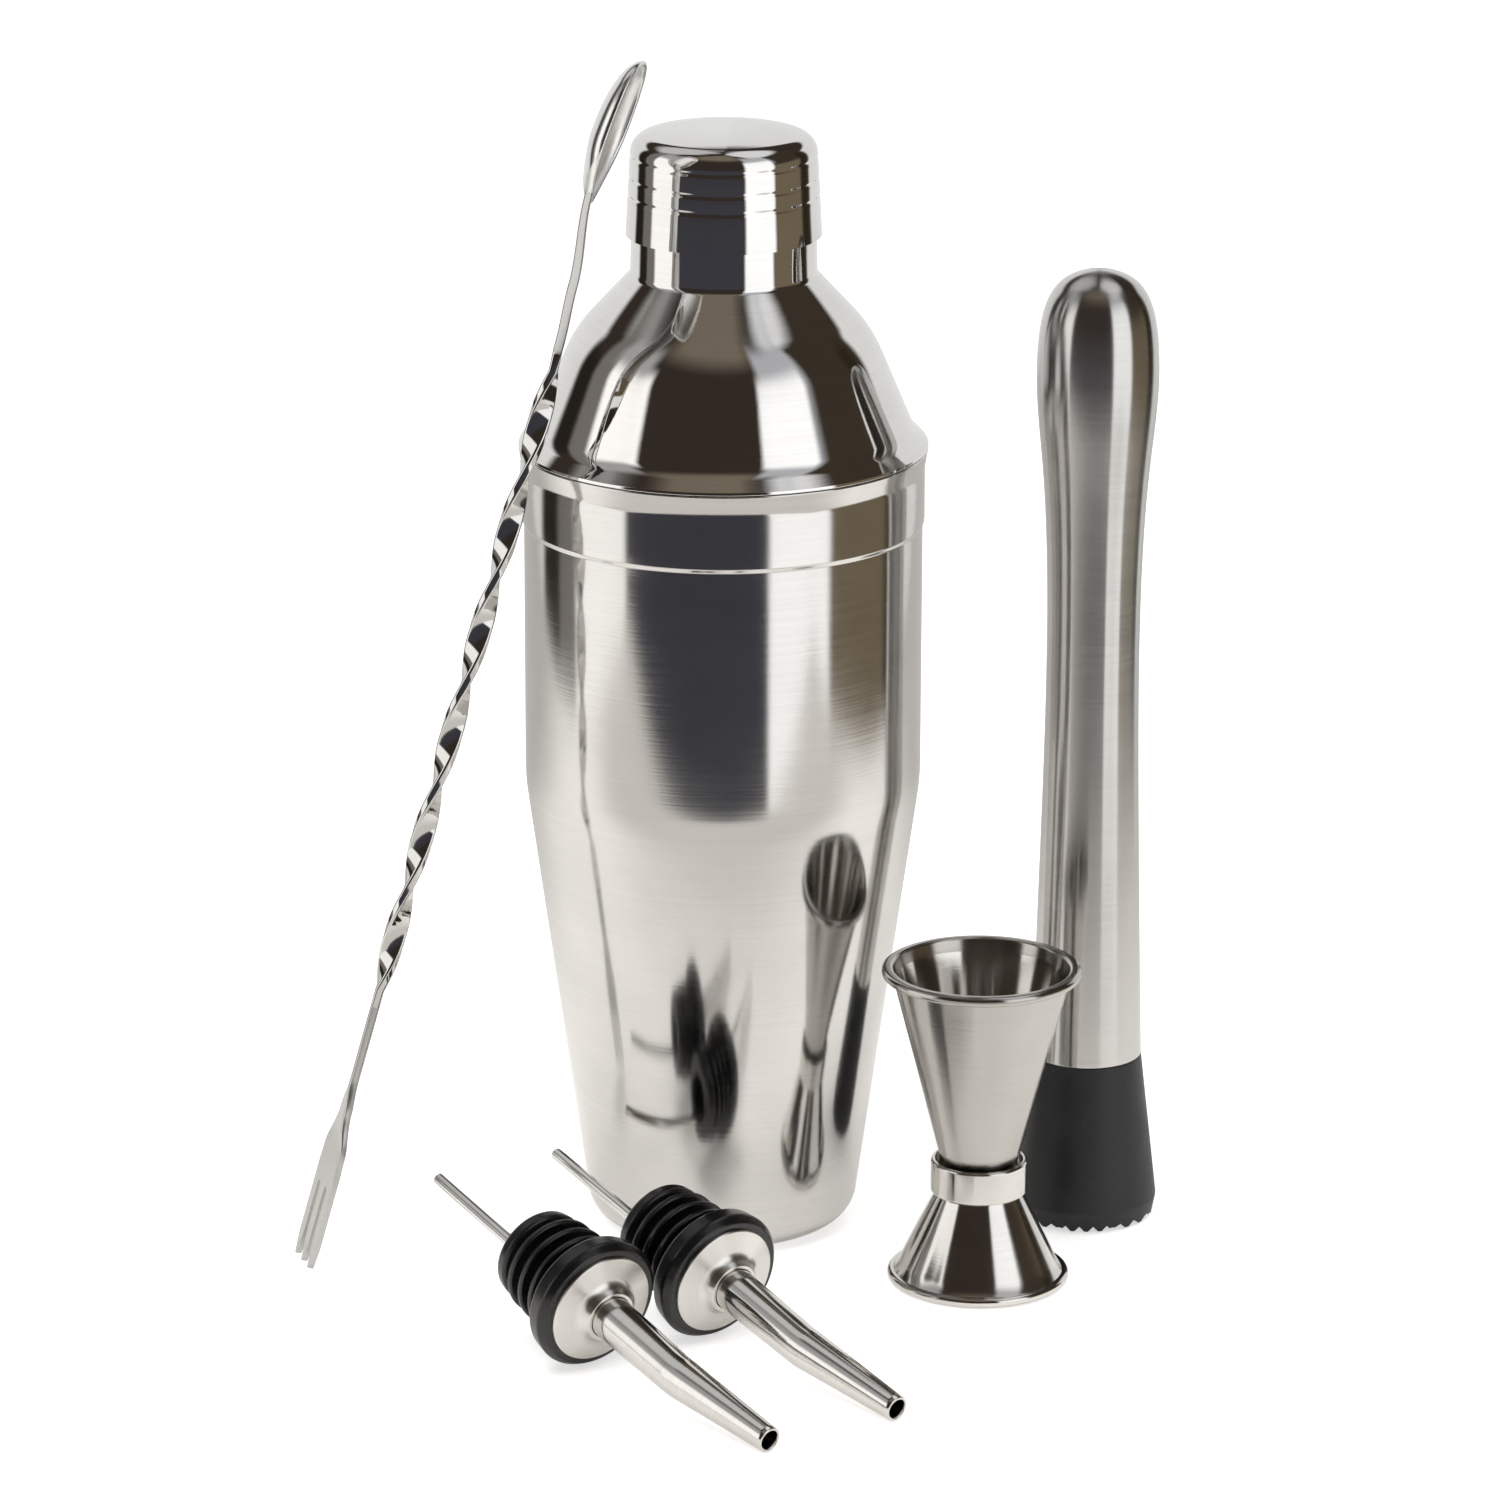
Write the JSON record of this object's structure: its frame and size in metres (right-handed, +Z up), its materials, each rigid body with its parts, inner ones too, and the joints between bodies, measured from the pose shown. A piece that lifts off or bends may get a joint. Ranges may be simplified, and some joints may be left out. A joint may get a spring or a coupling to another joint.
{
  "type": "cocktail shaker set",
  "caption": "Cobbler shaker with built-in strainer and cap, with a double jigger, muddler, twisted bar spoon and bottle pourers standing or lying around it.",
  "frame": {"origin": "middle of the shaker tin's foot, on the surface the set stands on", "axes": "+Z up, +X to the right of the set seen from its front, -Y towards the front"},
  "size_m": [0.187, 0.1816, 0.2613],
  "materials": {
    "tin_steel": "stainless steel polished bright, with very fine lathe lines running round it",
    "lid_steel": "stainless steel spun and polished to a mirror",
    "strainer_plate_steel": "pressed stainless steel, satin",
    "jigger_satin_steel": "stainless steel with a satin finish turned round it",
    "jigger_bright_steel": "polished stainless steel",
    "muddler_steel": "drawn stainless steel tube, satin",
    "muddler_nylon": "black moulded nylon, matte",
    "spoon_steel": "polished stainless steel",
    "pourer_rubber": "black moulded rubber, dull",
    "pourer_disc_steel": "stainless steel, spun in rings",
    "pourer_spout_steel": "polished stainless steel",
    "air_tube_steel": "drawn stainless steel tube"
  },
  "bodies": {
    "tin": {"shaker_tin": "tin_steel"},
    "strainer": {"strainer_top": "lid_steel", "strainer_plate": "strainer_plate_steel"},
    "cap": {"shaker_cap": "lid_steel"},
    "jigger": {"jigger_large_cup": "jigger_satin_steel", "jigger_small_cup": "jigger_bright_steel", "jigger_band": "jigger_bright_steel"},
    "muddler": {"muddler_handle": "muddler_steel", "muddler_head": "muddler_nylon"},
    "bar_spoon": {"spoon_fork": "spoon_steel", "spoon_stem": "spoon_steel", "spoon_bowl": "spoon_steel"},
    "pourer_a": {"pourer_a_stopper": "pourer_rubber", "pourer_a_disc": "pourer_disc_steel", "pourer_a_spout": "pourer_spout_steel", "pourer_a_air_tube": "air_tube_steel"},
    "pourer_b": {"pourer_b_stopper": "pourer_rubber", "pourer_b_disc": "pourer_disc_steel", "pourer_b_spout": "pourer_spout_steel", "pourer_b_air_tube": "air_tube_steel"}
  },
  "joints": [
    {"name": "strainer_lift", "type": "slide", "parent": "tin", "child": "strainer", "axis": [0, 0, 1], "range_m": [0, 0.014]},
    {"name": "cap_lift", "type": "slide", "parent": "strainer", "child": "cap", "axis": [0, 0, 1], "range_m": [0, 0.03]},
    {"name": "jigger_lift", "type": "slide", "parent": "tin", "child": "jigger", "axis": [0, 0, 1], "range_m": [0, 0.08]},
    {"name": "muddler_lift", "type": "slide", "parent": "tin", "child": "muddler", "axis": [0, 0, 1], "range_m": [0, 0.08]},
    {"name": "spoon_tip_away", "type": "hinge", "parent": "tin", "child": "bar_spoon", "pos_m": [-0.09197, -0.02972, 0], "axis": [0.0802, -0.9968, 0], "range_deg": [0, 60]},
    {"name": "pourer_a_lift", "type": "slide", "parent": "tin", "child": "pourer_a", "axis": [0, 0, 1], "range_m": [0, 0.06]},
    {"name": "pourer_b_lift", "type": "slide", "parent": "tin", "child": "pourer_b", "axis": [0, 0, 1], "range_m": [0, 0.06]}
  ]
}
